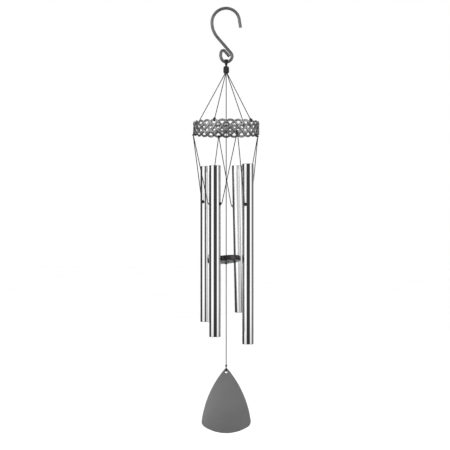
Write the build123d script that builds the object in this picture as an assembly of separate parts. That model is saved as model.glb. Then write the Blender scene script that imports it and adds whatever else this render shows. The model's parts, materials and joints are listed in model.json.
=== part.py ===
from build123d import *
import math
import os

# Wind chime: a wire hook, a corded bead, an openwork ring, four tubes round a
# striker disc, and a sheet-metal sail below them.
# Frame: origin where the inside of the hook's top bears on its hanger, +Z up,
# +X to the right, +Y away from the viewer. Millimetres and degrees.

# ---- driving dimensions ----------------------------------------------------
CORD_R = 0.65
GAP = 0.35                       # clearance between pieces that move on each other

# hook: one round wire bent in the XZ plane
WIRE_R = 2.55
WIRE_END_R = 0.5                 # rounding of the cut ends
LIP_LEN = 14.0
LIP_FLARE = 9.0
TOP_RIGHT_R = 22.0
TOP_LEFT_R = 23.7
SHANK_R = 38.2
SHANK_TURN = 40.7
EYE_ARCS = ((8.4, 57.0), (10.4, 62.0), (8.1, 69.5), (15.2, 52.0), (3.6, 119.5))   # radius, turn
EYE_LOW = 2                      # which of these arcs the hanger rides on
EYE_END_LEN = 11.8

# hanger: two rings of cord through the eye, tied down on to a bead
HANGER_CORD_R = 1.0
HANGER_RING_R = 3.95
HANGER_SPREAD = 1.45
NECK_R = 2.3
NECK_H = 1.9
NECK_TOP_R = 0.6
NECK_TAPER_H = 0.9
NECK_LOW_TAPER = 0.6
BEAD_TOP_Z = -94.8
BEAD_H = 10.8
BEAD_R = 4.6
BEAD_END_R = 3.9
BEAD_BORE_R = 3.1
BEAD_LIP_H = 1.5
BEAD_LIP_R = 1.2
BEAD_TOP_CHAMFER = 0.7
BEAD_SHOULDER_H = 0.9
BEAD_WIDE_FROM = 1.4             # widest part of the bead, above its foot
BEAD_WIDE_TO = 4.0
BEAD_FLUTES = 8
FLUTE_R = 0.9
FLUTE_OUT = 0.45
GATHER_KNOT_R = 2.9
GATHER_KNOT_H = 4.7
GATHER_FIT = 0.1                 # under the bead's top lip
TIE_R = 1.05                     # knot that carries the centre cord
CORD_CIRCLE_R = 2.2              # where the suspension cords leave the gather knot
CORD_MOUTH_DROP = 0.8            # they spread this far below the bead
CORD_BEND_R = 5.0

# openwork ring
RING_TOP_Z = -186.2
RING_H = 23.1
RING_R = 55.4
RING_T = 2.4
SCALLOPS = 25
NOTCH_R = 2.7
NOTCH_OUT = 1.0                  # notch centres stand this far outside the edges
HOLE_W = 6.6
HOLE_H = 4.0
DIAMOND_W = 5.0
HOLE_CORNER_R = 0.6
HOLE_ROWS = ((6.0, 0.0, -1), (11.55, 0.5, 0), (17.1, 0.0, 1))   # depth, phase, way up
UPPER_KNOT_ANGLES = (318.5, 55.4, 152.3, 249.2)
LOWER_KNOT_ANGLES = (20.0, 103.0, 194.5, 288.5)
RING_KNOT_R = 3.2
UPPER_KNOT_Z = RING_TOP_Z - 1.6
LOWER_KNOT_Z = RING_TOP_Z - RING_H + 1.0
LOWER_KNOT_CIRCLE_R = 57.0
LEG_DROP = 3.8                   # tube cords start this far under a lower knot's centre
LEG_SIDE = 1.3                   # and this far along their own chord

# tubes: first and second knot, top z, length, hole below top, outward lean at rest
TUBE_R = 9.55
TUBE_WALL = 1.3
TUBES = (
    (3, 0, -257.8, 298.2, 67.4, 0.0),
    (2, 3, -261.6, 281.3, 63.0, 0.0),
    (1, 2, -259.6, 261.4, 60.0, 0.0),
    (0, 1, -257.2, 249.1, 68.8, 2.4),
)
CROSS_HOLE_R = 2.0
GROMMET_R = 2.9
GROMMET_BARREL_R = 1.9
GROMMET_LIP_R = 2.6
GROMMET_BORE_R = 1.0
GROMMET_OUT = 1.3
GROMMET_IN = 0.9
GROMMET_CHAMFER = 0.3
SEAT_FIT = 0.02                  # grommet flange off the tube's wall
LIP_FIT = 0.05                   # grommet lip off the wall's inside
CORD_CORNER = 12.9               # half the width of a tube cord's cross run
CORD_CORNER_R = 2.0

# striker and sail
STRIKER_Z = -416.2
STRIKER_R = 24.3
STRIKER_T = 8.0
STRIKER_EDGE_R = 1.6
STRIKER_BORE_R = 1.6
STRIKER_TILT_X = -9.0            # near edge up
STRIKER_TILT_Y = -5.0            # left edge down
STRIKER_KNOT_R = 2.3
STRIKER_KNOT_GAP = 0.65          # clear of the tilted disc
SAIL_APEX_Z = -595.5
SAIL_BOTTOM_Z = -705.9
SAIL_CORNER = (42.0, -691.6)
SAIL_SIDE_MID = (28.5, -640.0)
SAIL_CORNER_R = 11.0
SAIL_APEX_R = 4.0
SAIL_T = 1.2
SAIL_BEND_R = 260.0
SAIL_HOLE_R = 1.9
SAIL_CORD_Z = -603.0             # where the cord loop crosses the sail
SAIL_HOLE_DROP = 0.9             # the hole's centre hangs this far under the cord
LOOP_R = 3.4
SAIL_KNOT_R = 1.9

os.makedirs("parts", exist_ok=True)


def solid_of(shape):
    """The largest closed solid of a shape."""
    return max(shape.solids(), key=lambda solid: solid.volume)


def save(name, *shapes):
    """Write one node as its own STEP file: one solid, or a group of solids."""
    solids = [solid_of(shape) for shape in shapes]
    node = solids[0] if len(solids) == 1 else Compound(children=solids)
    node.label = name
    export_step(node, f"parts/{name}.step")


def on_circle(radius, angle, z):
    turn = math.radians(angle)
    return Vector(radius * math.cos(turn), radius * math.sin(turn), z)


def rod(start, end, radius):
    """Round cord from one point straight to another."""
    run = Vector(end) - Vector(start)
    return Plane(origin=start, z_dir=run) * extrude(Circle(radius), run.length)


def swept(path, radius):
    section = Plane(origin=path @ 0, z_dir=path % 0) * Circle(radius)
    return sweep(section, path=path)


def cord(name, path, bend_r):
    """Cord along a path, its volume checked against its section times its length."""
    body = swept(path, CORD_R)
    share = body.volume / (math.pi * CORD_R**2 * path.length)
    print(f"{name}: bends {bend_r} mm, length {path.length:.1f} mm, volume {share:.4f} of section x length")
    return body


def turned(*corners):
    """Solid of revolution about Z from (radius, z) corners."""
    return revolve(make_face(Plane.XZ * Polyline(*corners, close=True)), Axis.Z)


def ball(radius, z):
    return Pos(0, 0, z) * Sphere(radius)


# ---- hook ------------------------------------------------------------------
def heading(angle):
    return Vector(math.cos(math.radians(angle)), math.sin(math.radians(angle)))


def bent_edges(here, angle, steps):
    """Tangent chain of lines (length, 0) and arcs (radius, turn), left turns positive."""
    edges = []
    for size, turn in steps:
        along = heading(angle)
        if turn:
            edge = JernArc(start=here, tangent=along, radius=size, arc_size=turn)
        else:
            edge = Line(here, here + along * size)
        edges.append(edge)
        here = edge @ 1
        angle += turn
    return edges


# the shank is as long as it must be to put the eye's lowest point under the seat
EYE_STEPS = [(radius, -turn) for radius, turn in EYE_ARCS]
SHANK_ANGLE = SHANK_TURN - 90
SHANK_FROM_X = -TOP_LEFT_R + SHANK_R * (1 - math.cos(math.radians(SHANK_TURN)))
SHANK_FROM_Z = WIRE_R - TOP_LEFT_R - SHANK_R * math.sin(math.radians(SHANK_TURN))
low_centre = bent_edges(Vector(0, 0), SHANK_ANGLE, EYE_STEPS)[EYE_LOW].arc_center
SHANK_LEN = -(SHANK_FROM_X + low_centre.X) / heading(SHANK_ANGLE).X
EYE_Z = SHANK_FROM_Z + SHANK_LEN * heading(SHANK_ANGLE).Y + low_centre.Y


def hook():
    lip_angle = 90 + LIP_FLARE
    top_right = Vector(0, WIRE_R - TOP_RIGHT_R) + heading(LIP_FLARE) * TOP_RIGHT_R
    steps = (
        (LIP_LEN, 0),
        (TOP_RIGHT_R, 90 - LIP_FLARE),
        (TOP_LEFT_R, 90),
        (SHANK_R, SHANK_TURN),
        (SHANK_LEN, 0),
        *EYE_STEPS,
        (EYE_END_LEN, 0),
    )
    start = top_right - heading(lip_angle) * LIP_LEN
    path = Plane.XZ * Wire(bent_edges(start, lip_angle, steps))
    wire = swept(path, WIRE_R)
    ends = wire.faces().filter_by(GeomType.PLANE)
    return fillet([end.edges()[0] for end in ends], WIRE_END_R)


save("hanging_hook", hook())

# ---- hanger, bead and its knots --------------------------------------------
EYE_BOTTOM_Z = EYE_Z - EYE_ARCS[EYE_LOW][0]
NECK_TOP_Z = BEAD_TOP_Z + GAP + NECK_H
BEAD_LOW_Z = BEAD_TOP_Z - BEAD_H
GATHER_TOP_Z = BEAD_TOP_Z - BEAD_LIP_H - GATHER_FIT
GATHER_LOW_Z = GATHER_TOP_Z - GATHER_KNOT_H
TIE_Z = GATHER_LOW_Z - GAP - TIE_R
CLAPPER_TOP_Z = TIE_Z - TIE_R - GAP

save(
    "hanger_loop",
    *[
        Pos(side * HANGER_SPREAD, 0, EYE_BOTTOM_Z)
        * Rot(0, 90, 0)
        * Torus(HANGER_RING_R, HANGER_CORD_R)
        for side in (-1, 1)
    ],
)
save(
    "hanger_neck",
    turned(
        (0, NECK_TOP_Z),
        (NECK_TOP_R, NECK_TOP_Z),
        (NECK_R, NECK_TOP_Z - NECK_TAPER_H),
        (NECK_R, NECK_TOP_Z - NECK_H + NECK_LOW_TAPER),
        (NECK_R - NECK_LOW_TAPER, NECK_TOP_Z - NECK_H),
        (0, NECK_TOP_Z - NECK_H),
    ),
)


def bead():
    body = turned(
        (BEAD_LIP_R, BEAD_TOP_Z),
        (BEAD_END_R - BEAD_TOP_CHAMFER, BEAD_TOP_Z),
        (BEAD_END_R, BEAD_TOP_Z - BEAD_SHOULDER_H),
        (BEAD_R, BEAD_LOW_Z + BEAD_WIDE_TO),
        (BEAD_R, BEAD_LOW_Z + BEAD_WIDE_FROM),
        (BEAD_END_R, BEAD_LOW_Z),
        (BEAD_BORE_R, BEAD_LOW_Z),
        (BEAD_BORE_R, BEAD_TOP_Z - BEAD_LIP_H),
        (BEAD_LIP_R, BEAD_TOP_Z - BEAD_LIP_H),
    )
    flute = Pos(BEAD_R + FLUTE_OUT, 0, BEAD_LOW_Z) * Cylinder(FLUTE_R, 3 * BEAD_H)
    return body - [Rot(0, 0, i * 360 / BEAD_FLUTES) * flute for i in range(BEAD_FLUTES)]


save("gather_bead", bead())
save("gather_knot", Pos(0, 0, GATHER_LOW_Z + GATHER_KNOT_H / 2) * Cylinder(GATHER_KNOT_R, GATHER_KNOT_H))
save("centre_tie", ball(TIE_R, TIE_Z))


# ---- openwork ring ---------------------------------------------------------
def window(way_up):
    """Gap between strands: a rounded triangle, point up for +1, or a diamond for 0."""
    tip = way_up * HOLE_H / 2
    if way_up:
        corners = [(0, tip), (HOLE_W / 2, -tip), (-HOLE_W / 2, -tip)]
    else:
        corners = [(0, HOLE_H / 2), (DIAMOND_W / 2, 0), (0, -HOLE_H / 2), (-DIAMOND_W / 2, 0)]
    shape = make_face(Polyline(*corners, close=True))
    return fillet(shape.vertices(), HOLE_CORNER_R)


def band(height):
    return Cylinder(RING_R, height) - Cylinder(RING_R - RING_T, height + 1)


def ring():
    pitch = 360 / SCALLOPS
    first = -90 + pitch / 2
    cutters = []
    for depth, phase, way_up in HOLE_ROWS:
        hole = Plane.YZ * extrude(window(way_up), 2 * RING_T)
        out = Pos(RING_R - 1.5 * RING_T, 0, RING_H / 2 - depth) * hole
        cutters += [Rot(0, 0, first + (i + phase) * pitch) * out for i in range(SCALLOPS)]
    for end in (-1, 1):
        notch = Rot(0, 90, 0) * Cylinder(NOTCH_R, 3 * RING_T)
        out = Pos(RING_R, 0, end * (RING_H / 2 + NOTCH_OUT)) * notch
        cutters += [Rot(0, 0, first + (i + 0.5) * pitch) * out for i in range(SCALLOPS)]
    return band(RING_H) - cutters


ring_place = Pos(0, 0, RING_TOP_Z - RING_H / 2)
save("filigree_ring", ring_place * ring())

# ---- suspension cords and the knots on the ring ----------------------------
def ring_knot_ball(centre, angle, seam_side):
    """Ball with its poles along the ring's radius and its seam off the ring's edge: up +1, down -1."""
    return Pos(*centre) * Rot(0, 0, angle) * Rot(0, -90 * seam_side, 0) * Sphere(RING_KNOT_R)


def tied_on(knot_ball):
    """A knot that saddles the ring's edge: the ball without the band inside it."""
    return knot_ball - ring_place * band(RING_H)


for number, angle in enumerate(UPPER_KNOT_ANGLES, 1):
    centre = on_circle(RING_R - RING_T / 2, angle, UPPER_KNOT_Z)
    knot_ball = ring_knot_ball(centre, angle, 1)
    save(f"upper_knot_{number}", tied_on(knot_ball))
    path = FilletPolyline(
        on_circle(CORD_CIRCLE_R, angle, GATHER_LOW_Z),
        on_circle(CORD_CIRCLE_R, angle, BEAD_LOW_Z - CORD_MOUTH_DROP),
        centre,
        radius=CORD_BEND_R,
    )
    name = f"suspension_cord_{number}"
    save(name, cord(name, path, CORD_BEND_R) - knot_ball)

lower_knots = [on_circle(LOWER_KNOT_CIRCLE_R, angle, LOWER_KNOT_Z) for angle in LOWER_KNOT_ANGLES]
for number, (centre, angle) in enumerate(zip(lower_knots, LOWER_KNOT_ANGLES), 1):
    save(f"lower_knot_{number}", tied_on(ring_knot_ball(centre, angle, -1)))


# ---- tubes, their grommets and cords ---------------------------------------
def tube(length, hole_depth):
    """Open tube about its cross hole, which lies along X at the origin."""
    wall = Cylinder(TUBE_R, length) - Cylinder(TUBE_R - TUBE_WALL, length + 1)
    cross_hole = Rot(0, 90, 0) * Cylinder(CROSS_HOLE_R, 3 * TUBE_R)
    return Pos(0, 0, hole_depth - length / 2) * wall - cross_hole


def grommet():
    """Flanged bush through the wall on the +X side, turned about X."""
    seat = TUBE_R + SEAT_FIT
    inside = math.sqrt((TUBE_R - TUBE_WALL) ** 2 - GROMMET_LIP_R**2) - LIP_FIT
    bush = turned(
        (GROMMET_BORE_R, inside - GROMMET_IN),
        (GROMMET_LIP_R, inside - GROMMET_IN),
        (GROMMET_LIP_R, inside),
        (GROMMET_BARREL_R, inside),
        (GROMMET_BARREL_R, seat),
        (GROMMET_R, seat),
        (GROMMET_R - GROMMET_CHAMFER, seat + GROMMET_OUT),
        (GROMMET_BORE_R, seat + GROMMET_OUT),
    )
    return Rot(0, 90, 0) * bush


for number, (first, second, top_z, length, hole_depth, lean) in enumerate(TUBES, 1):
    start, end = lower_knots[first], lower_knots[second]
    middle = (start + end) * 0.5
    hole_z = top_z - hole_depth
    place = Plane(origin=(middle.X, middle.Y, hole_z), x_dir=end - start, z_dir=(0, 0, 1))
    leaning = place * Rot(-lean, 0, 0)
    save(f"tube_{number}", leaning * tube(length, hole_depth))
    save(f"tube_grommets_{number}", *[leaning * Rot(0, 0, side) * grommet() for side in (0, 180)])
    half = (end - start).length / 2 - LEG_SIDE
    rise = LOWER_KNOT_Z - LEG_DROP - hole_z
    path = FilletPolyline(
        (-half, 0, rise),
        (-CORD_CORNER, 0, 0),
        (CORD_CORNER, 0, 0),
        (half, 0, rise),
        radius=CORD_CORNER_R,
    )
    name = f"tube_cord_{number}"
    save(name, cord(name, place * path, CORD_CORNER_R))

# ---- striker, its cords and the sail ---------------------------------------
STRIKER_KNOT_Z = STRIKER_Z - STRIKER_T / 2 - STRIKER_KNOT_GAP - STRIKER_KNOT_R
SAIL_KNOT_Z = SAIL_CORD_Z + 2 * LOOP_R + CORD_R + GAP + SAIL_KNOT_R
SAIL_CORD_TOP_Z = STRIKER_KNOT_Z - STRIKER_KNOT_R - GAP
SAIL_CORD_LOW_Z = SAIL_KNOT_Z + SAIL_KNOT_R + GAP


def striker():
    disc = fillet(Cylinder(STRIKER_R, STRIKER_T).edges(), STRIKER_EDGE_R)
    disc -= Cylinder(STRIKER_BORE_R, 2 * STRIKER_T)
    return Pos(0, 0, STRIKER_Z) * Rot(STRIKER_TILT_X, STRIKER_TILT_Y, 0) * disc


def sail():
    """Rounded-triangle sheet, bent gently about a vertical axis behind it."""
    corner_x, corner_z = SAIL_CORNER
    side_x, side_z = SAIL_SIDE_MID
    outline = make_face(
        [
            ThreePointArc((0, SAIL_APEX_Z), (side_x, side_z), (corner_x, corner_z)),
            ThreePointArc((corner_x, corner_z), (0, SAIL_BOTTOM_Z), (-corner_x, corner_z)),
            ThreePointArc((-corner_x, corner_z), (-side_x, side_z), (0, SAIL_APEX_Z)),
        ]
    )
    corners = outline.vertices().sort_by(Axis.Y)
    outline = fillet(corners[:2], SAIL_CORNER_R)
    outline = fillet(outline.vertices().sort_by(Axis.Y)[-1], SAIL_APEX_R)
    hole = Pos(0, SAIL_CORD_Z - SAIL_HOLE_DROP) * Circle(SAIL_HOLE_R)
    plate = extrude(Plane.XZ * (outline - hole), SAIL_BEND_R / 10, both=True)
    height = SAIL_APEX_Z - SAIL_BOTTOM_Z + 20
    outer = Cylinder(SAIL_BEND_R + SAIL_T / 2, height)
    shell = outer - Cylinder(SAIL_BEND_R - SAIL_T / 2, height + 1)
    return plate & Pos(0, SAIL_BEND_R, (SAIL_APEX_Z + SAIL_BOTTOM_Z) / 2) * shell


save("striker", striker())
save("clapper_cord", rod((0, 0, CLAPPER_TOP_Z), (0, 0, STRIKER_KNOT_Z + STRIKER_KNOT_R + GAP), CORD_R))
save("striker_knot", ball(STRIKER_KNOT_R, STRIKER_KNOT_Z))
save("sail_cord", rod((0, 0, SAIL_CORD_TOP_Z), (0, 0, SAIL_CORD_LOW_Z), CORD_R))
save("sail_knot", ball(SAIL_KNOT_R, SAIL_KNOT_Z))
save("sail_loop", Pos(0, 0, SAIL_CORD_Z + LOOP_R) * Rot(0, 90, 0) * Torus(LOOP_R, CORD_R))
save("windcatcher", sail())

print(f"eye z {EYE_Z:.3f}, eye bottom {EYE_BOTTOM_Z:.3f}, neck top {NECK_TOP_Z:.3f}, shank {SHANK_LEN:.2f}")
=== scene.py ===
import json
import math

import bpy
from mathutils import Matrix, Vector


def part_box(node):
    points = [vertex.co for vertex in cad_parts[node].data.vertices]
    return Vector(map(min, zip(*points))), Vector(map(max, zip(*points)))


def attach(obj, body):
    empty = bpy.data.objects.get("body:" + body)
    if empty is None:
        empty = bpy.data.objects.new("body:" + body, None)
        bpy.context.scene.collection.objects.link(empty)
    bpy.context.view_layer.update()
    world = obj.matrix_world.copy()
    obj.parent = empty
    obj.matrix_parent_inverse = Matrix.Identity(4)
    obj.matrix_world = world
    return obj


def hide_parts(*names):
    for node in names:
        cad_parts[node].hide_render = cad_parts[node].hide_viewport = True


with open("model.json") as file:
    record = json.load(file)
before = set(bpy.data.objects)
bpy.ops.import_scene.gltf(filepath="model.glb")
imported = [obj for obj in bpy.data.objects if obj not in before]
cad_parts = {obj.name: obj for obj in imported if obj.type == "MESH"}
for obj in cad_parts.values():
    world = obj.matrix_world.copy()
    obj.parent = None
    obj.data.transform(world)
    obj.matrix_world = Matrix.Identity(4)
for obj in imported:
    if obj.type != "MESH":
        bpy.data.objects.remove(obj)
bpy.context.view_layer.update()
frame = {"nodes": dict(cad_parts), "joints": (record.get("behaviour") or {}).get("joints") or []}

# Wind chime. Metres, in the part's own frame: origin at the hook's seat, +Z up,
# +X to the right, +Y away from the main camera.

MM = 0.001
JOINTS = {joint["name"]: joint for joint in frame["joints"]}

# ---- sizes shared with the part --------------------------------------------
CORD_R = 0.65 * MM
CORD_D = 2 * CORD_R
CORD_LAY = 5.0 * MM              # length of one turn of the cord's three strands
KNOT_LAY = 3.2 * MM              # the same where the cord is knotted
LOOP_LAY = 3.6 * MM              # and where it is a short loop
TUBE_R = 9.55 * MM
TUBE_WALL = 1.3 * MM
TUBE_EDGE_R = 0.6 * MM
RING_R = 55.4 * MM
RING_T = 2.4 * MM
SCALLOPS = 25
STRIKER_R = 24.3 * MM
STRIKER_T = 8.0 * MM
STRIKER_TILT_X = math.radians(-9.0)
STRIKER_TILT_Y = math.radians(-5.0)


# ---- shader helpers ---------------------------------------------------------
def new_material(name):
    material = bpy.data.materials.new(name)
    material.use_nodes = True
    tree = material.node_tree
    shader = next(n for n in tree.nodes if n.type == "BSDF_PRINCIPLED")
    return material, tree, shader


def node(tree, kind, **inputs):
    """A shader node with its input sockets set by name."""
    made = tree.nodes.new(kind)
    for key, value in inputs.items():
        made.inputs[key.replace("_", " ")].default_value = value
    return made


def noise_of(tree, scale, detail=4.0, stretch=(1, 1, 1), roughness=0.55):
    """Noise in object space, stretched along chosen axes."""
    coords = tree.nodes.new("ShaderNodeTexCoord")
    mapping = node(tree, "ShaderNodeMapping")
    mapping.inputs["Scale"].default_value = stretch
    texture = node(tree, "ShaderNodeTexNoise", Scale=scale, Detail=detail, Roughness=roughness)
    tree.links.new(coords.outputs["Object"], mapping.inputs["Vector"])
    tree.links.new(mapping.outputs["Vector"], texture.inputs["Vector"])
    return texture.outputs["Fac"]


def ramp(tree, fac, stops):
    """Colour ramp from (position, grey or colour) stops."""
    made = tree.nodes.new("ShaderNodeValToRGB")
    elements = made.color_ramp.elements
    while len(elements) < len(stops):
        elements.new(0.5)
    for element, (position, colour) in zip(elements, stops):
        grey = isinstance(colour, (int, float))
        element.position = position
        element.color = (colour, colour, colour, 1) if grey else (*colour, 1)
    tree.links.new(fac, made.inputs["Fac"])
    return made.outputs["Color"]


def stretched(tree, value, source, target, smooth=False):
    """A value mapped from one range to another, and held at its ends."""
    made = tree.nodes.new("ShaderNodeMapRange")
    if smooth:
        made.interpolation_type = "SMOOTHSTEP"
    made.inputs["From Min"].default_value, made.inputs["From Max"].default_value = source
    made.inputs["To Min"].default_value, made.inputs["To Max"].default_value = target
    tree.links.new(value, made.inputs["Value"])
    return made.outputs["Result"]


def spread(tree, noise, low, high):
    """Noise stretched to run from low to high."""
    return stretched(tree, noise, (0.3, 0.7), (low, high))


def bump(tree, shader, height, distance, strength=1.0):
    made = node(tree, "ShaderNodeBump", Strength=strength, Distance=distance)
    tree.links.new(height, made.inputs["Height"])
    tree.links.new(made.outputs["Normal"], shader.inputs["Normal"])


def mixed(tree, fac, first, second):
    made = tree.nodes.new("ShaderNodeMix")
    made.data_type = "RGBA"
    tree.links.new(fac, made.inputs["Factor"])
    for socket, colour in (("A", first), ("B", second)):
        place = next(i for i in made.inputs if i.name == socket and i.type == "RGBA")
        if isinstance(colour, tuple):
            place.default_value = (*colour, 1)
        else:
            tree.links.new(colour, place)
    return next(o for o in made.outputs if o.type == "RGBA")


# ---- materials --------------------------------------------------------------
def polished_tube():
    material, tree, shader = new_material("polished_aluminium")
    shader.inputs["Metallic"].default_value = 1.0
    draw = noise_of(tree, 900, stretch=(1, 1, 0.012), detail=3)
    cloud = noise_of(tree, 18, stretch=(1, 1, 0.3))
    colour = ramp(tree, cloud, [(0.3, (0.88, 0.88, 0.885)), (0.7, (0.93, 0.93, 0.935))])
    tree.links.new(colour, shader.inputs["Base Color"])
    tree.links.new(spread(tree, draw, 0.055, 0.10), shader.inputs["Roughness"])
    bump(tree, shader, draw, 0.00001, 0.35)
    return material


def coated_wire():
    material, tree, shader = new_material("pewter_coated_wire")
    shader.inputs["Metallic"].default_value = 0.75
    shader.inputs["Coat Weight"].default_value = 0.25
    shader.inputs["Coat Roughness"].default_value = 0.25
    cloud = noise_of(tree, 160, detail=5)
    grain = noise_of(tree, 2600, detail=2)
    colour = ramp(tree, cloud, [(0.3, (0.25, 0.242, 0.247)), (0.7, (0.29, 0.282, 0.287))])
    tree.links.new(colour, shader.inputs["Base Color"])
    tree.links.new(spread(tree, cloud, 0.3, 0.37), shader.inputs["Roughness"])
    bump(tree, shader, grain, 0.00002, 0.15)
    return material


def pewter_with_painted_shade():
    material, tree, shader = new_material("pewter_with_painted_shade")
    shader.inputs["Metallic"].default_value = 0.8
    painted_shade = tree.nodes.new("ShaderNodeAttribute")
    painted_shade.attribute_name = "painted_shade"
    cloud = noise_of(tree, 120, detail=5)
    hammer = noise_of(tree, 1500, detail=3)
    bright = ramp(tree, cloud, [(0.32, (0.40, 0.391, 0.395)), (0.7, (0.66, 0.651, 0.655))])
    # painted shade: the pewter is mixed towards near black where strands dip under, along their edges
    # and on the ring's inner face, in place of occlusion
    colour = mixed(tree, painted_shade.outputs["Fac"], bright, (0.085, 0.082, 0.083))
    tree.links.new(colour, shader.inputs["Base Color"])
    tree.links.new(spread(tree, hammer, 0.34, 0.48), shader.inputs["Roughness"])
    bump(tree, shader, hammer, 0.00005, 0.3)
    return material


def satin_sheet():
    material, tree, shader = new_material("satin_grey_sheet")
    shader.inputs["Metallic"].default_value = 0.85
    shader.inputs["Coat Weight"].default_value = 0.12
    shader.inputs["Coat Roughness"].default_value = 0.4
    cloud = noise_of(tree, 22, detail=3)
    powder = noise_of(tree, 3200, detail=2)
    colour = ramp(tree, cloud, [(0.3, (0.61, 0.606, 0.620)), (0.7, (0.67, 0.666, 0.680))])
    tree.links.new(colour, shader.inputs["Base Color"])
    tree.links.new(spread(tree, powder, 0.32, 0.42), shader.inputs["Roughness"])
    bump(tree, shader, powder, 0.00003, 0.35)
    return material


def stained_wood():
    material, tree, shader = new_material("black_stained_wood")
    shader.inputs["Coat Weight"].default_value = 0.7
    shader.inputs["Coat Roughness"].default_value = 0.12
    grain = noise_of(tree, 420, detail=5, stretch=(0.06, 1, 1))
    colour = ramp(tree, grain, [(0.3, (0.016, 0.014, 0.014)), (0.75, (0.042, 0.037, 0.036))])
    tree.links.new(colour, shader.inputs["Base Color"])
    tree.links.new(spread(tree, grain, 0.3, 0.48), shader.inputs["Roughness"])
    bump(tree, shader, grain, 0.00006, 0.4)
    return material


def black_cord():
    material, tree, shader = new_material("black_twisted_cord")
    shader.inputs["Sheen Weight"].default_value = 0.08
    shader.inputs["Sheen Roughness"].default_value = 0.4
    shader.inputs["Specular IOR Level"].default_value = 0.3
    fibre = noise_of(tree, 5200, detail=3, stretch=(1, 1, 0.25))
    colour = ramp(tree, fibre, [(0.3, (0.010, 0.010, 0.010)), (0.75, (0.034, 0.032, 0.031))])
    tree.links.new(colour, shader.inputs["Base Color"])
    tree.links.new(spread(tree, fibre, 0.5, 0.72), shader.inputs["Roughness"])
    bump(tree, shader, fibre, 0.00006, 0.5)
    return material


def black_rubber():
    material, tree, shader = new_material("black_rubber")
    dust = noise_of(tree, 1400, detail=4)
    colour = ramp(tree, dust, [(0.35, (0.014, 0.014, 0.015)), (0.75, (0.03, 0.03, 0.031))])
    tree.links.new(colour, shader.inputs["Base Color"])
    tree.links.new(spread(tree, dust, 0.45, 0.62), shader.inputs["Roughness"])
    bump(tree, shader, dust, 0.00004, 0.3)
    return material


def black_plastic():
    material, tree, shader = new_material("black_moulded_plastic")
    mould = noise_of(tree, 900, detail=4)
    colour = ramp(tree, mould, [(0.3, (0.012, 0.012, 0.013)), (0.75, (0.024, 0.024, 0.025))])
    tree.links.new(colour, shader.inputs["Base Color"])
    tree.links.new(spread(tree, mould, 0.2, 0.34), shader.inputs["Roughness"])
    bump(tree, shader, mould, 0.00003, 0.3)
    return material


MATERIALS = {
    "tube_metal": polished_tube(),
    "hook_wire": coated_wire(),
    "filigree_metal": pewter_with_painted_shade(),
    "sail_metal": satin_sheet(),
    "striker_finish": stained_wood(),
    "black_cord": black_cord(),
    "grommet_rubber": black_rubber(),
    "bead_plastic": black_plastic(),
}


# ---- mesh helpers -----------------------------------------------------------
def piece(name, verts, faces, slot, body, stands_for):
    """A smooth mesh that rides on a body and takes its finish from a slot."""
    mesh = bpy.data.meshes.new(name)
    mesh.from_pydata([tuple(v) for v in verts], [], faces)
    mesh.validate()
    mesh.polygons.foreach_set("use_smooth", [True] * len(mesh.polygons))
    mesh.materials.append(MATERIALS[slot])
    made = bpy.data.objects.new(name, mesh)
    bpy.context.scene.collection.objects.link(made)
    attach(made, body)
    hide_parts(stands_for)
    return made


def skin(rows, sides, closed=True):
    """Faces over rows of vertices, each row a ring of the same number of sides."""
    faces = []
    for i in range(rows if closed else rows - 1):
        k = (i + 1) % rows
        for j in range(sides):
            n = (j + 1) % sides
            faces.append((i * sides + j, i * sides + n, k * sides + n, k * sides + j))
    return faces


def joined(parts):
    """Several (verts, faces) shells as one."""
    verts, faces = [], []
    for part_verts, part_faces in parts:
        start = len(verts)
        verts += list(part_verts)
        faces += [tuple(start + i for i in face) for face in part_faces]
    return verts, faces


def moved(shell, matrix):
    verts, faces = shell
    return [matrix @ Vector(v) for v in verts], faces


def lathe(profile, segments, radius_of=None):
    """Surface of revolution about Z from a closed loop of (r, z), clear of the axis."""
    verts = []
    for r, z in profile:
        for j in range(segments):
            turn = 2 * math.pi * j / segments
            here = r if radius_of is None else radius_of(r, z, turn)
            verts.append((here * math.cos(turn), here * math.sin(turn), z))
    return verts, skin(len(profile), segments)


def rounded(corners, steps=4):
    """Closed (r, z) loop with its corners rounded: each corner is (r, z, radius)."""
    out = []
    count = len(corners)
    for i, (r, z, radius) in enumerate(corners):
        here = Vector((r, z))
        before = Vector(corners[i - 1][:2]) - here
        after = Vector(corners[(i + 1) % count][:2]) - here
        if radius <= 0:
            out.append((r, z))
            continue
        half = before.angle(after) / 2
        reach = radius / math.tan(half)
        first = here + before.normalized() * reach
        last = here + after.normalized() * reach
        centre = here + (before.normalized() + after.normalized()).normalized() * radius / math.sin(half)
        for s in range(steps + 1):
            t = s / steps
            chord = first.lerp(last, t) - centre
            out.append(tuple(centre + chord.normalized() * radius))
    return out


def frames_along(points, closed=False):
    """Parallel-transported (point, side, up) frames along a path."""
    count = len(points)
    tangents = []
    for i in range(count):
        after = points[(i + 1) % count] if closed or i < count - 1 else points[i]
        before = points[i - 1] if closed or i > 0 else points[i]
        tangents.append((after - before).normalized())
    seed = Vector((0, 0, 1)) if abs(tangents[0].z) < 0.9 else Vector((1, 0, 0))
    side = tangents[0].cross(seed).normalized()
    out = []
    for point, tangent in zip(points, tangents):
        side = (side - tangent * side.dot(tangent)).normalized()
        out.append((point, side, tangent.cross(side)))
    return out


def spaced(points, step):
    """The same path with evenly spaced points."""
    lengths = [0.0]
    for a, b in zip(points, points[1:]):
        lengths.append(lengths[-1] + (b - a).length)
    count = max(4, round(lengths[-1] / step))
    out, i = [], 0
    for n in range(count + 1):
        want = lengths[-1] * n / count
        while i < len(points) - 2 and lengths[i + 1] < want:
            i += 1
        run = lengths[i + 1] - lengths[i]
        out.append(points[i].lerp(points[i + 1], (want - lengths[i]) / run if run else 0))
    return out


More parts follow.
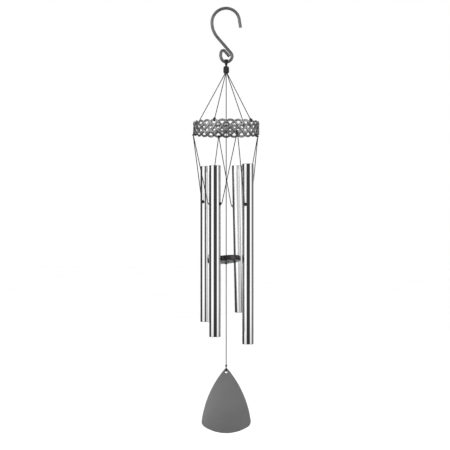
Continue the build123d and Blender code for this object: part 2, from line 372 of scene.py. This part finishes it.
ROPE_SIDES = 15
ROPE_STEP = 0.7 * MM
FINE_STEP = 0.4 * MM             # in knots and loops
ROPE_GROOVE = 0.13
ROPE_CROWN = 1.12                # the strands' crowns stand a little outside the cord's mean radius


def rope(points, radius, lay, closed=False, step=ROPE_STEP):
    """Three strands twisted together along a path, as one lobed tube with rounded-off ends."""
    path = spaced(points, step)
    if closed:
        path = path[:-1]
    total = step * len(path)
    turns = max(1, round(total / lay)) if closed else total / lay
    verts = []
    count = len(path)
    for i, (point, side, up) in enumerate(frames_along(path, closed)):
        twist = 2 * math.pi * turns * i / count
        end = min(i, count - 1 - i)
        taper = 1.0 if closed or end > 1 else (0.55 if end == 0 else 0.9)
        for j in range(ROPE_SIDES):
            turn = 2 * math.pi * j / ROPE_SIDES
            lobe = 1 - ROPE_GROOVE * (1 - abs(math.cos(1.5 * (turn - twist))))
            here = radius * lobe * taper
            verts.append(point + side * here * math.cos(turn) + up * here * math.sin(turn))
    faces = skin(count, ROPE_SIDES, closed)
    if not closed:
        faces.append(tuple(reversed(range(ROPE_SIDES))))
        faces.append(tuple((count - 1) * ROPE_SIDES + j for j in range(ROPE_SIDES)))
    return verts, faces


def spline_line(route):
    """Points along the smooth line that a route's points control."""
    curve = bpy.data.curves.new("route", "CURVE")
    curve.dimensions = "3D"
    curve.resolution_u = 16
    spline = curve.splines.new("NURBS")
    spline.points.add(len(route) - 1)
    for point, place in zip(spline.points, route):
        point.co = (*place, 1)
    spline.order_u = 3
    spline.use_endpoint_u = True
    holder = bpy.data.objects.new("route", curve)
    line = bpy.data.meshes.new_from_object(holder)
    points = [v.co.copy() for v in line.vertices]
    bpy.data.objects.remove(holder)
    bpy.data.curves.remove(curve)
    bpy.data.meshes.remove(line)
    return points


def taut_cord(name, route, body):
    """A cord pulled straight by what hangs on it, in place of its plain solid."""
    line = spline_line(route)
    verts, faces = rope(line, ROPE_CROWN * CORD_R, CORD_LAY)
    made = piece(f"{name}_rope", verts, faces, "black_cord", body, name)


# ---- knots ------------------------------------------------------------------
UPRIGHT = Matrix.Rotation(math.radians(90), 4, "Y")   # stands the X axis along Z


def ring_of(across, high, count):
    """Closed ellipse round the X axis, its last point its first."""
    turns = [2 * math.pi * i / count for i in range(count)]
    ring = [Vector((0, across * math.cos(t), high * math.sin(t))) for t in turns]
    return ring + [ring[0]]


def trefoil(size, radius, turn=0.0):
    """A small tight knot about the origin, its axis along Z."""
    count = 72
    points = []
    for i in range(count):
        t = 2 * math.pi * i / count
        x = math.sin(t) + 2 * math.sin(2 * t)
        y = math.cos(t) - 2 * math.cos(2 * t)
        z = -1.25 * math.sin(3 * t)
        points.append(Vector((x, y, z)) * size / 3)
    points.append(points[0])
    shell = rope(points, radius, KNOT_LAY, closed=True, step=FINE_STEP)
    return moved(shell, Matrix.Rotation(turn, 4, "Z"))


def coil(turns, pitch, across, high, radius):
    """Turns of cord round the X axis."""
    count = int(turns * 30)
    points = []
    for i in range(count + 1):
        t = 2 * math.pi * turns * i / count
        along = pitch * (t / (2 * math.pi) - turns / 2)
        points.append(Vector((along, across * math.cos(t), high * math.sin(t))))
    return rope(points, radius, KNOT_LAY, step=FINE_STEP)


def barrel_knot(radius, height, cord_r, turns):
    """Cord wrapped round itself, upright about the origin."""
    wraps = coil(turns, (height - 2 * cord_r) / turns, radius - cord_r, radius - cord_r, cord_r)
    ends = [Vector((-height / 2, 0, 0)), Vector((height / 2, 0, 0))]
    core = rope(ends, radius - 1.5 * cord_r, KNOT_LAY)
    return moved(joined([wraps, core]), UPRIGHT)


def standing_coil(node_name, radius, cord_radius, turns):
    """Turns of cord round the Z axis that fill a node's height."""
    low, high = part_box(node_name)
    pitch = (high.z - low.z - 2 * cord_radius) / turns
    shell = coil(turns, pitch, radius, radius, cord_radius)
    return moved(shell, Matrix.Translation((low + high) / 2) @ UPRIGHT)


def toward(x_dir, origin):
    """Placement with X along a level direction, Z up."""
    x = Vector(x_dir).normalized()
    z = Vector((0, 0, 1))
    y = z.cross(x)
    matrix = Matrix((x, y, z)).transposed().to_4x4()
    matrix.translation = origin
    return matrix


def middle(name):
    low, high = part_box(name)
    return (low + high) / 2


# ---- hanger, bead and the knots in it ---------------------------------------
HANGER_CORD_R = 1.0 * MM
HANGER_RING_R = 4.05 * MM
HANGER_MIDDLE_RING_R = 3.8 * MM
HANGER_TOP_SPREAD = 1.95 * MM    # the outer turns lie apart on the wire
HANGER_LOW_SPREAD = 1.15 * MM    # and close up below it
NECK_CORD_R = 0.5 * MM
NECK_CORE_R = 1.15 * MM
TIE_PITCH = 0.95 * MM
TIE_R = 1.9 * MM
TIE_RISE = 1.2 * MM              # above the foot of the turns


def hanger():
    """Three turns of cord through the eye, closed up and tied at their foot."""
    centre = middle("hanger_loop")
    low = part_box("hanger_loop")[0]
    shells = []
    for side in (-1, 0, 1):
        deep = HANGER_RING_R if side else HANGER_MIDDLE_RING_R
        ring = ring_of(deep, deep, 72)
        for point in ring[:-1]:
            up = 0.5 + 0.5 * point.z / deep
            point.x = side * (HANGER_LOW_SPREAD + (HANGER_TOP_SPREAD - HANGER_LOW_SPREAD) * up)
        shells.append(rope(ring, HANGER_CORD_R, LOOP_LAY, closed=True, step=FINE_STEP))
    turns = moved(joined(shells), Matrix.Translation(centre))
    tie = moved(coil(1.5, TIE_PITCH, TIE_R, TIE_R, NECK_CORD_R), UPRIGHT)
    tie = moved(tie, Matrix.Translation((0, 0, low.z + TIE_RISE)))
    piece("hanger_loop_rope", *joined([turns, tie]), "black_cord", "hanger", "hanger_loop")


def neck():
    """Whipping over a core that runs from the hanger's turns down into the bead."""
    low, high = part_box("hanger_neck")
    wraps = standing_coil("hanger_neck", 1.8 * MM, NECK_CORD_R, 1.9)
    ends = [Vector((0, 0, high.z + 1.1 * MM)), Vector((0, 0, low.z - 1.6 * MM))]
    core = rope(ends, NECK_CORE_R, LOOP_LAY)
    piece("hanger_neck_whipping", *joined([wraps, core]), "black_cord", "neck", "hanger_neck")


BEAD_FLUTES = 8
FLUTE_DEPTH = 0.5                # millimetres, as are the bead's other sizes
FLUTE_RUN_OUT = 1.6              # the flutes fade out this far from each end
BEAD_BORE_R = 3.1
BEAD_LIP_R = 1.2
BEAD_LIP_H = 1.5
BEAD_MESH_STEP = 0.6


def bead():
    """Fluted barrel bead, the knot that fills it, and the small knot under that."""
    low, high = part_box("gather_bead")
    height = (high.z - low.z) / MM
    loop = rounded(
        [
            (BEAD_LIP_R, height, 0.3),
            (4.45, height, 0.8),
            (4.85, 6.0, 2.0),
            (4.85, 1.5, 0.8),
            (4.2, 0.0, 0.4),
            (BEAD_BORE_R, 0.0, 0.3),
            (BEAD_BORE_R, height - BEAD_LIP_H, 0.3),
            (BEAD_LIP_R, height - BEAD_LIP_H, 0.2),
        ],
        5,
    )
    dense = []
    for (r0, z0), (r1, z1) in zip(loop, loop[1:] + loop[:1]):
        steps = max(1, int(math.hypot(r1 - r0, z1 - z0) / BEAD_MESH_STEP))
        dense += [(r0 + (r1 - r0) * s / steps, z0 + (z1 - z0) * s / steps) for s in range(steps)]

    def fluted(r, z, turn):
        """The radius, less the flutes: full depth on the outside, none in the bore or at the ends."""
        outside = max(0.0, min(1.0, (r / MM - BEAD_BORE_R - 0.2) / 0.5))
        above_foot = max(0.0, min(1.0, z / MM / FLUTE_RUN_OUT))
        below_top = max(0.0, min(1.0, (height - z / MM) / FLUTE_RUN_OUT))
        groove = (0.5 - 0.5 * math.cos(BEAD_FLUTES * turn)) ** 3
        return r - FLUTE_DEPTH * MM * outside * above_foot * below_top * groove

    shell = lathe([(r * MM, z * MM) for r, z in dense], 96, radius_of=fluted)
    shell = moved(shell, Matrix.Translation((0, 0, low.z)))
    piece("gather_bead_fluted", *shell, "bead_plastic", "head", "gather_bead")
    wraps = standing_coil("gather_knot", 2.1 * MM, 0.7 * MM, 2.6)
    piece("gather_knot_wraps", *wraps, "black_cord", "head", "gather_knot")
    tie = moved(trefoil(0.62 * MM, 0.38 * MM), Matrix.Translation(middle("centre_tie")))
    piece("centre_tie_knot", *tie, "black_cord", "centre_tie", "centre_tie")


# ---- woven ring -------------------------------------------------------------
FRONT = -90                      # the ring's front faces the main camera
STRAND_W = 3.9 * MM
STRAND_T = 1.2 * MM
WEAVE = 0.55 * MM                # how far a strand rises over and dips under
WAVES_PER_TURN = SCALLOPS / 4    # each strand's wave spans four scallops
STRAND_TURNS = 4                 # 25 scallops over 4 leads: one strand, four times round
STRAND_STEPS = 650               # a turn
STRAND_SIDES = 14
WEAVE_STOPS = (0, 1, -1, 1, 0, -1, 1, -1)   # every 45 degrees of a strand's wave


def weave_height(wave):
    """Over or under, between -1 and 1, at a place in a strand's wave (degrees)."""
    place = (wave % 360) / 45
    low = int(place) % 8
    t = place - int(place)
    ease = 0.5 - 0.5 * math.cos(math.pi * t)
    return WEAVE_STOPS[low] * (1 - ease) + WEAVE_STOPS[(low + 1) % 8] * ease


def strand_section():
    """Rounded-off flat section of a strand: (across, outward) points."""
    section = []
    for j in range(STRAND_SIDES):
        t = 2 * math.pi * j / STRAND_SIDES
        wide = math.copysign(abs(math.cos(t)) ** 0.7, math.cos(t))
        deep = math.copysign(abs(math.sin(t)) ** 0.8, math.sin(t))
        section.append((wide * STRAND_W / 2, deep * STRAND_T / 2))
    return section


def strand_line():
    """Centre line of the one strand: (radial direction, centre, lift) at each step."""
    low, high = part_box("filigree_ring")
    middle_z = (low.z + high.z) / 2
    amplitude = (high.z - low.z) / 2 - STRAND_W / 2
    steps = STRAND_STEPS * STRAND_TURNS
    line = []
    for i in range(steps):
        angle = STRAND_TURNS * 360 * i / steps
        wave = WAVES_PER_TURN * angle
        lift = weave_height(wave)
        z = middle_z + amplitude * math.cos(math.radians(wave))
        turn = math.radians(angle + FRONT + 180 / SCALLOPS)
        radial = Vector((math.cos(turn), math.sin(turn), 0))
        centre = radial * (RING_R - RING_T / 2 + WEAVE * lift) + Vector((0, 0, z))
        line.append((radial, centre, lift))
    return line


def woven_ring():
    """Plaited band of one flat strand, with painted shade: darker where it dips under, along its edges
    and on its inner face.
    """
    section = strand_section()
    line = strand_line()
    steps = len(line)
    verts, painted_shade = [], []
    for i, (radial, centre, lift) in enumerate(line):
        along = (line[(i + 1) % steps][1] - line[i - 1][1]).normalized()
        across = along.cross(radial).normalized()
        outward = across.cross(along).normalized()
        if outward.dot(radial) < 0:
            outward = -outward
        for wide, deep in section:
            verts.append(centre + across * wide + outward * deep)
            edge = abs(wide) / (STRAND_W / 2)
            inside = 1.0 if deep < 0.15 * STRAND_T else 0.0
            # painted shade for each vertex: darker near the strand's edges, where it dips under another
            # strand, and on its inner face
            painted_shade.append(min(1.0, 0.45 * edge**3 + 0.15 * (1 - lift) + 0.25 * inside))
    faces = skin(steps, STRAND_SIDES)
    made = piece("filigree_ring_weave", verts, faces, "filigree_metal", "head", "filigree_ring")
    shade = made.data.attributes.new("painted_shade", "FLOAT", "POINT")
    shade.data.foreach_set("value", painted_shade)


# ---- cords and knots on the ring --------------------------------------------
CORD_CIRCLE_R = 2.2 * MM
BEAD_MOUTH_DROP = 0.8 * MM
STRAIGHT = 6 * CORD_D            # length of a taut cord's end run
KNOT_CORD_R = 0.62 * MM
KNOT_TURNS = 2.4
KNOT_PITCH = 1.35 * MM
KNOT_ACROSS = 1.95 * MM


def suspension(number):
    """Cord from the bead's mouth to the ring's top, with the knot that holds it."""
    knot = middle(f"upper_knot_{number}")
    radial = Vector((knot.x, knot.y, 0)).normalized()
    top_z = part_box("gather_knot")[0].z
    mouth_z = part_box("gather_bead")[0].z - BEAD_MOUTH_DROP
    mouth = radial * CORD_CIRCLE_R + Vector((0, 0, mouth_z))
    end = knot + Vector((0, 0, 2.2 * MM)) - radial * 1.4 * MM
    down = (end - mouth).normalized()
    route = [
        radial * CORD_CIRCLE_R + Vector((0, 0, top_z)),
        mouth,
        mouth + down * STRAIGHT,
        end - down * STRAIGHT,
        end,
    ]
    taut_cord(f"suspension_cord_{number}", route, "head")
    wraps = coil(KNOT_TURNS, KNOT_PITCH, KNOT_ACROSS, 2.5 * MM, KNOT_CORD_R)
    tilt = Matrix.Translation((0, 0.9 * MM, 3.0 * MM)) @ Matrix.Rotation(0.6, 4, "X")
    lump = moved(trefoil(0.95 * MM, 0.58 * MM), tilt)
    along_ring = Vector((0, 0, 1)).cross(radial)
    knot_shell = moved(joined([wraps, lump]), toward(along_ring, knot))
    name = f"upper_knot_{number}"
    piece(f"{name}_wraps", *knot_shell, "black_cord", "head", name)


def knot_centre(number):
    """Centre of a lower knot, which two tube cords' swing axes pass through."""
    low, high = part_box(f"lower_knot_{number}")
    return Vector(((low.x + high.x) / 2, (low.y + high.y) / 2, JOINTS["tube_1_swing"]["pos_m"][2]))


def lower_knot(number):
    """Wraps round a strand of the ring's foot, with a lump below that two tube cords run into."""
    centre = knot_centre(number)
    radial = Vector((centre.x, centre.y, 0)).normalized()
    along_ring = Vector((0, 0, 1)).cross(radial)
    on_strand = radial * (RING_R - RING_T / 2) + Vector((0, 0, centre.z + 0.6 * MM))
    wraps = coil(KNOT_TURNS, KNOT_PITCH, KNOT_ACROSS, 2.4 * MM, KNOT_CORD_R)
    wraps = moved(wraps, toward(along_ring, on_strand))
    lump = trefoil(1.05 * MM, KNOT_CORD_R, 0.5 * number)
    lump = moved(lump, Matrix.Translation(centre - Vector((0, 0, 1.6 * MM))))
    name = f"lower_knot_{number}"
    piece(f"{name}_wraps", *joined([wraps, lump]), "black_cord", "head", name)


# ---- tubes ------------------------------------------------------------------
TUBE_TOPS = {1: 67.4, 2: 63.0, 3: 60.0, 4: 68.8}           # millimetres above the cross hole
TUBE_LENGTHS = {1: 298.2, 2: 281.3, 3: 261.4, 4: 249.1}
CHORD_HALVES = {1: 39.5, 2: 40.4, 3: 39.5, 4: 36.5}        # from the hole out to each cord's top
TUBE_LEANS = {1: 0.0, 2: 0.0, 3: 0.0, 4: 2.4}              # degrees outward at rest
CORD_TUCK = 2.8 * MM             # how far a cord's end reaches into its knot
CORD_AT_TUBE = ((14.8, 8.0), (13.4, 2.0), (12.9, 0.0), (10.9, 0.0))   # bend at a bush
GROMMET_PROFILE = (              # radius, distance from the tube's axis, rounding
    (1.0, 6.9, 0.25),
    (2.6, 6.9, 0.3),
    (2.6, 7.78, 0.2),
    (1.9, 7.78, 0.05),
    (1.9, 9.57, 0.05),
    (2.9, 9.57, 0.2),
    (2.75, 10.87, 0.55),
    (1.0, 10.87, 0.4),
)


def tube_cord(number, hole, chord):
    """Cord from one lower knot, in through a tube's cross hole, and up to the next knot."""
    name = f"tube_cord_{number}"
    half = CHORD_HALVES[number] * MM
    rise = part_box(name)[1].z - hole.z
    bend = [(x * MM, z * MM) for x, z in CORD_AT_TUBE]
    into_knot = (Vector((half, rise)) - Vector(bend[0])).normalized() * CORD_TUCK
    leg = [(half + into_knot.x, rise + into_knot.y), *bend]
    level = Matrix.Translation(hole) @ toward(chord, (0, 0, 0))
    route = [level @ Vector((-x, 0, z)) for x, z in leg]
    route += [level @ Vector((x, 0, z)) for x, z in reversed(leg)]
    taut_cord(name, route, name)


def tube(number):
    """Open polished tube, its two bushes, and the cord that carries it."""
    rock = JOINTS[f"tube_{number}_rock"]
    hole = Vector(rock["pos_m"])
    chord = Vector(rock["axis"]).normalized()
    outward = Vector((hole.x, hole.y, 0)).normalized()
    lean = math.radians(TUBE_LEANS[number])
    swings_out = chord.cross(Vector((0, 0, -1))).dot(outward) > 0
    tilt = Matrix.Rotation(lean if swings_out else -lean, 4, chord)
    place = Matrix.Translation(hole) @ tilt @ toward(chord, (0, 0, 0))
    top = TUBE_TOPS[number] * MM
    bottom = (TUBE_TOPS[number] - TUBE_LENGTHS[number]) * MM
    loop = rounded(
        [
            (TUBE_R, top, TUBE_EDGE_R),
            (TUBE_R - TUBE_WALL, top, TUBE_EDGE_R),
            (TUBE_R - TUBE_WALL, bottom, TUBE_EDGE_R),
            (TUBE_R, bottom, TUBE_EDGE_R),
        ]
    )
    body = f"tube_{number}"
    piece(f"{body}_polished", *moved(lathe(loop, 128), place), "tube_metal", body, body)
    bush = moved(lathe([(r * MM, a * MM) for r, a in rounded(GROMMET_PROFILE)], 48), UPRIGHT)
    pair = joined([moved(bush, Matrix.Rotation(math.radians(side), 4, "Z")) for side in (0, 180)])
    name = f"tube_grommets_{number}"
    piece(f"{name}_bushes", *moved(pair, place), "grommet_rubber", body, name)
    tube_cord(number, hole, chord)


# ---- striker and sail -------------------------------------------------------
STRIKER_DISH_R = 5.0             # millimetres: a shallow dish round the bore, top and bottom
STRIKER_DISH = 0.6
STRIKER_BORE_R = 1.6
CORD_TOP_TUCK = 1.2 * MM         # how far a centre cord's top reaches into the knot above
SAIL_KNOT_LEAN = math.radians(7)
SAIL_LOOP_SPREAD = 0.42 * MM


def striker():
    """Turned disc with eased edges and a shallow dish round its bore."""
    half = STRIKER_T / 2 / MM
    radius = STRIKER_R / MM
    side = [
        (STRIKER_BORE_R, half - STRIKER_DISH, 0.3),
        (STRIKER_DISH_R - 1.0, half - STRIKER_DISH, 0.4),
        (STRIKER_DISH_R, half, 0.5),
        (radius, half, 1.7),
    ]
    loop = rounded(side + [(r, -z, rounding) for r, z, rounding in reversed(side)], 6)
    shell = lathe([(r * MM, z * MM) for r, z in loop], 160)
    tilt = Matrix.Rotation(STRIKER_TILT_X, 4, "X") @ Matrix.Rotation(STRIKER_TILT_Y, 4, "Y")
    shell = moved(shell, Matrix.Translation(middle("striker")) @ tilt)
    piece("striker_disc", *shell, "striker_finish", "clapper", "striker")


def centre_cords():
    """Cords down the middle, the knot under the striker, and the sail's knot and loop."""
    for name, body in (("clapper_cord", "clapper"), ("sail_cord", "sail_cord")):
        low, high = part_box(name)
        heights = [high.z + CORD_TOP_TUCK, high.z - STRAIGHT, low.z + STRAIGHT, low.z]
        taut_cord(name, [Vector((0, 0, z)) for z in heights], body)
    knot = moved(trefoil(1.5 * MM, 0.85 * MM, 0.4), Matrix.Translation(middle("striker_knot")))
    piece("striker_knot_tied", *knot, "black_cord", "striker_knot", "striker_knot")
    leaning = Matrix.Translation(middle("sail_knot")) @ Matrix.Rotation(SAIL_KNOT_LEAN, 4, "Y")
    knot = moved(barrel_knot(1.75 * MM, 4.4 * MM, 0.55 * MM, 3.0), leaning)
    piece("sail_knot_tied", *knot, "black_cord", "sail_knot", "sail_knot")
    low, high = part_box("sail_loop")
    radius = (high.z - low.z) / 2 - CORD_R
    shells = []
    for side in (-1, 1):
        shell = rope(ring_of(radius, radius, 64), CORD_R, LOOP_LAY, closed=True, step=FINE_STEP)
        place = middle("sail_loop") + Vector((side * SAIL_LOOP_SPREAD, 0, 0))
        shells.append(moved(shell, Matrix.Translation(place)))
    piece("sail_loop_rope", *joined(shells), "black_cord", "sail_loop", "sail_loop")


SAIL_T = 1.2 * MM
SAIL_BEND_R = 260 * MM           # about a vertical axis behind the sheet
SAIL_DOME_R = 300 * MM           # and very slightly about a level one
SAIL_APEX = (0.0, -595.5)        # the outline's points and radii are in millimetres
SAIL_SIDE_MID = (28.5, -640.0)
SAIL_CORNER = (42.0, -691.6)
SAIL_BOTTOM = (0.0, -705.9)
SAIL_CORNER_R = 11.0
SAIL_APEX_R = 4.0
SAIL_HOLE_Z = -603.9
SAIL_HOLE_R = 1.9
SAIL_EDGE_R = 0.35


def circle_through(a, b, c):
    """Centre and radius of the circle through three (x, z) points."""
    (ax, az), (bx, bz), (cx, cz) = a, b, c
    d = 2 * (ax * (bz - cz) + bx * (cz - az) + cx * (az - bz))
    x = ((ax**2 + az**2) * (bz - cz) + (bx**2 + bz**2) * (cz - az) + (cx**2 + cz**2) * (az - bz)) / d
    z = ((ax**2 + az**2) * (cx - bx) + (bx**2 + bz**2) * (ax - cx) + (cx**2 + cz**2) * (bx - ax)) / d
    return Vector((x, z)), math.hypot(ax - x, az - z)


def meeting(centre_1, radius_1, centre_2, radius_2, highest):
    """Where two circles meet: the highest of the two points, or the one furthest right."""
    apart = (centre_2 - centre_1).length
    along = (radius_1**2 - radius_2**2 + apart**2) / (2 * apart)
    off = math.sqrt(max(0.0, radius_1**2 - along**2))
    axis = (centre_2 - centre_1) / apart
    normal = Vector((-axis.y, axis.x))
    points = [centre_1 + axis * along + normal * off * sign for sign in (-1, 1)]
    return max(points, key=lambda p: p.y if highest else p.x)


def arc(centre, radius, start, end, steps):
    """Points on a circle from the direction of one point to that of another, the short way."""
    a0 = math.atan2(start.y - centre.y, start.x - centre.x)
    a1 = math.atan2(end.y - centre.y, end.x - centre.x)
    turn = (a1 - a0 + math.pi) % (2 * math.pi) - math.pi
    return [
        centre + Vector((math.cos(a0 + turn * i / steps), math.sin(a0 + turn * i / steps))) * radius
        for i in range(steps + 1)
    ]


def sail_outline():
    """Right half of the outline, from the apex to the bottom, in (x, z) millimetres."""
    side_c, side_r = circle_through(SAIL_APEX, SAIL_SIDE_MID, SAIL_CORNER)
    low_c, low_r = circle_through((-SAIL_CORNER[0], SAIL_CORNER[1]), SAIL_BOTTOM, SAIL_CORNER)
    mirror_c = Vector((-side_c.x, side_c.y))
    tip = meeting(side_c, side_r - SAIL_APEX_R, mirror_c, side_r - SAIL_APEX_R, highest=True)
    foot = meeting(side_c, side_r - SAIL_CORNER_R, low_c, low_r - SAIL_CORNER_R, highest=False)
    touch_tip = side_c + (tip - side_c).normalized() * side_r
    touch_side = side_c + (foot - side_c).normalized() * side_r
    touch_low = low_c + (foot - low_c).normalized() * low_r
    points = arc(tip, SAIL_APEX_R, tip + Vector((0, 1)), touch_tip, 8)
    points += arc(side_c, side_r, touch_tip, touch_side, 40)[1:]
    points += arc(foot, SAIL_CORNER_R, touch_side, touch_low, 14)[1:]
    points += arc(low_c, low_r, touch_low, Vector(SAIL_BOTTOM), 18)[1:]
    return points


def sail_rows():
    """(share, through) of each row: share from hole to rim, through from the front face to the back."""
    shares = [0.0, 0.01, 0.03] + [0.06 + 0.06 * i for i in range(15)] + [0.965, 0.99, 1.0]
    front = [(share, -1.0) for share in shares]
    back = [(share, 1.0) for share in reversed(shares)]
    return front + [(1.0, -0.45), (1.0, 0.45)] + back + [(0.0, 0.45), (0.0, -0.45)]


def sail():
    """Sheet-metal sail: rows run from the hole out to the rim, over the edge and back behind."""
    half = sail_outline()
    rim = half + [Vector((-p.x, p.y)) for p in reversed(half[1:-1])]
    centre = Vector((0, SAIL_HOLE_Z))
    middle_z = (SAIL_APEX[1] + SAIL_BOTTOM[1]) / 2

    def dome(z):
        return ((z - middle_z) * MM) ** 2 / (2 * SAIL_DOME_R)

    rows = sail_rows()
    verts = []
    for share, through in rows:
        inset = SAIL_EDGE_R if abs(through) == 1 else 0.0
        radius = SAIL_BEND_R - through * SAIL_T / 2
        for point in rim:
            way = (point - centre).normalized()
            start = centre + way * (SAIL_HOLE_R + inset)
            flat = start.lerp(point - way * inset, share)
            turn = flat.x * MM / SAIL_BEND_R
            y = SAIL_BEND_R - radius * math.cos(turn) + dome(flat.y) - dome(SAIL_HOLE_Z)
            verts.append((radius * math.sin(turn), y, flat.y * MM))
    piece("sail_sheet", verts, skin(len(rows), len(rim)), "sail_metal", "sail", "windcatcher")


def finish_hook():
    """The hook keeps its CAD shape and gets its finish."""
    mesh = frame["nodes"]["hanging_hook"].data
    mesh.materials.clear()
    mesh.materials.append(MATERIALS["hook_wire"])


hanger()
neck()
bead()
woven_ring()
for number in range(1, 5):
    suspension(number)
    lower_knot(number)
    tube(number)
striker()
centre_cords()
sail()
finish_hook()


# ---- stage, light and camera -------------------------------------------------
FRAME_W = 0.75                   # width of the picture at the chime
FRAME_SHIFT = 1 / 18             # of that width, so that the hook is near the picture's top
CAMERA_DISTANCE = 2.3
CAMERA_X = -0.002
EYE_LEVEL = 0.4004               # below the hook's seat
FLOOR_Z = -0.80
STUDIO_BANDS = (                 # brightness of the room by azimuth from the main camera
    (-180, 0.95),
    (-154, 0.95),
    (-148, 0.10),
    (-110, 0.05),
    (-81, 0.05),
    (-74, 1.15),
    (-30, 1.15),
    (-23, 0.05),
    (38, 0.05),
    (45, 1.15),
    (75, 1.10),
    (84, 0.20),
    (148, 0.14),
    (154, 0.95),
    (180, 0.95),
)


def stage():
    bpy.ops.mesh.primitive_plane_add(size=60, location=(0, 0, FLOOR_Z))
    floor = bpy.context.object
    floor.name = "floor"
    material, tree, shader = new_material("pale_floor")
    grain = noise_of(tree, 3.0)
    tree.links.new(ramp(tree, grain, [(0.3, 0.86), (0.7, 0.9)]), shader.inputs["Base Color"])
    shader.inputs["Roughness"].default_value = 0.9
    shader.inputs["Specular IOR Level"].default_value = 0.1
    floor.data.materials.append(material)
    floor.visible_glossy = False


def maths(tree, operation, first, second):
    """One sum of two sockets, or of a socket and a number."""
    made = tree.nodes.new("ShaderNodeMath")
    made.operation = operation
    for place, value in zip(made.inputs, (first, second)):
        if isinstance(value, (int, float)):
            place.default_value = value
        else:
            tree.links.new(value, place)
    return made.outputs[0]


def studio_world():
    """White room with dark flags, darker above and below: what the polished tubes mirror."""
    world = bpy.data.worlds.new("studio")
    bpy.context.scene.world = world
    world.use_nodes = True
    tree = world.node_tree
    mirrored = next(n for n in tree.nodes if n.type == "BACKGROUND")
    out = next(n for n in tree.nodes if n.type == "OUTPUT_WORLD")
    coords = tree.nodes.new("ShaderNodeTexCoord")
    split = tree.nodes.new("ShaderNodeSeparateXYZ")
    tree.links.new(coords.outputs["Generated"], split.inputs["Vector"])
    # azimuth about Z, 0 towards the main camera, growing to the right
    ahead = maths(tree, "MULTIPLY", split.outputs["Y"], -1)
    azimuth = maths(tree, "ARCTAN2", split.outputs["X"], ahead)
    unit = stretched(tree, azimuth, (-math.pi, math.pi), (0.0, 1.0))
    bands = ramp(tree, unit, [((degrees + 180) / 360, level) for degrees, level in STUDIO_BANDS])
    below = (math.sin(math.radians(-26)), math.sin(math.radians(-5.5)))
    above = (math.sin(math.radians(18)), math.sin(math.radians(42)))
    low_part = stretched(tree, split.outputs["Z"], below, (0.1, 1.0), smooth=True)
    high_part = stretched(tree, split.outputs["Z"], above, (1.0, 0.3), smooth=True)
    scaled = tree.nodes.new("ShaderNodeVectorMath")
    scaled.operation = "SCALE"
    tree.links.new(bands, scaled.inputs[0])
    tree.links.new(maths(tree, "MULTIPLY", low_part, high_part), scaled.inputs["Scale"])
    tree.links.new(scaled.outputs["Vector"], mirrored.inputs["Color"])
    backdrop = node(tree, "ShaderNodeBackground", Color=(1, 1, 1, 1), Strength=1.0)
    path = tree.nodes.new("ShaderNodeLightPath")
    mix = tree.nodes.new("ShaderNodeMixShader")
    tree.links.new(path.outputs["Is Camera Ray"], mix.inputs["Fac"])
    tree.links.new(mirrored.outputs[0], mix.inputs[1])
    tree.links.new(backdrop.outputs[0], mix.inputs[2])
    tree.links.new(mix.outputs[0], out.inputs["Surface"])


def lamp(name, kind, place=(0, 0, 0), facing=(0, 0, 0)):
    """A light that the camera doesn't see."""
    data = bpy.data.lights.new(name, kind)
    made = bpy.data.objects.new(name, data)
    made.location = place
    made.rotation_euler = facing
    made.visible_camera = False
    bpy.context.scene.collection.objects.link(made)
    return made


def soft_light(name, place, aim, size, power):
    facing = (Vector(aim) - Vector(place)).to_track_quat("-Z", "Y").to_euler()
    made = lamp(name, "AREA", place, facing)
    made.data.shape = "SQUARE"
    made.data.size = size
    made.data.energy = power
    made.visible_glossy = False


def mirror_card(node_name, shift, away, width, radiance):
    """White card inside the cage of tubes, which only the near side of one back tube mirrors."""
    low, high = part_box(node_name)
    hung = (low + high) / 2
    place = (hung.x + shift, hung.y - away, hung.z)
    made = lamp(f"{node_name}_card", "AREA", place, (math.radians(90), 0, 0))
    made.data.shape = "RECTANGLE"
    made.data.size = width
    made.data.size_y = high.z - low.z + width
    made.data.energy = math.pi * made.data.size * made.data.size_y * radiance
    made.visible_diffuse = False


def overhead_light():
    """Broad light from straight above."""
    made = lamp("overhead", "SUN")
    made.data.energy = 2.9
    made.data.angle = math.radians(60)
    made.visible_glossy = False


def camera():
    data = bpy.data.cameras.new("camera")
    data.sensor_width = 36
    data.lens = 36 * CAMERA_DISTANCE / FRAME_W
    data.shift_y = FRAME_SHIFT
    data.clip_end = 100
    made = bpy.data.objects.new("camera", data)
    made.location = (CAMERA_X, -CAMERA_DISTANCE, -EYE_LEVEL)
    made.rotation_euler = (math.radians(90), 0, 0)
    bpy.context.scene.collection.objects.link(made)
    bpy.context.scene.camera = made


stage()
studio_world()
soft_light("key", (-1.6, -1.8, 0.9), (0, 0, -0.35), 1.4, 34)
soft_light("fill", (1.8, -1.5, 0.3), (0, 0, -0.4), 1.4, 14)
mirror_card("tube_4", -3 * MM, 26 * MM, 34 * MM, 0.5)
mirror_card("tube_3", 10 * MM, 20 * MM, 20 * MM, 0.4)
overhead_light()
camera()
bpy.context.scene.view_settings.view_transform = "Standard"
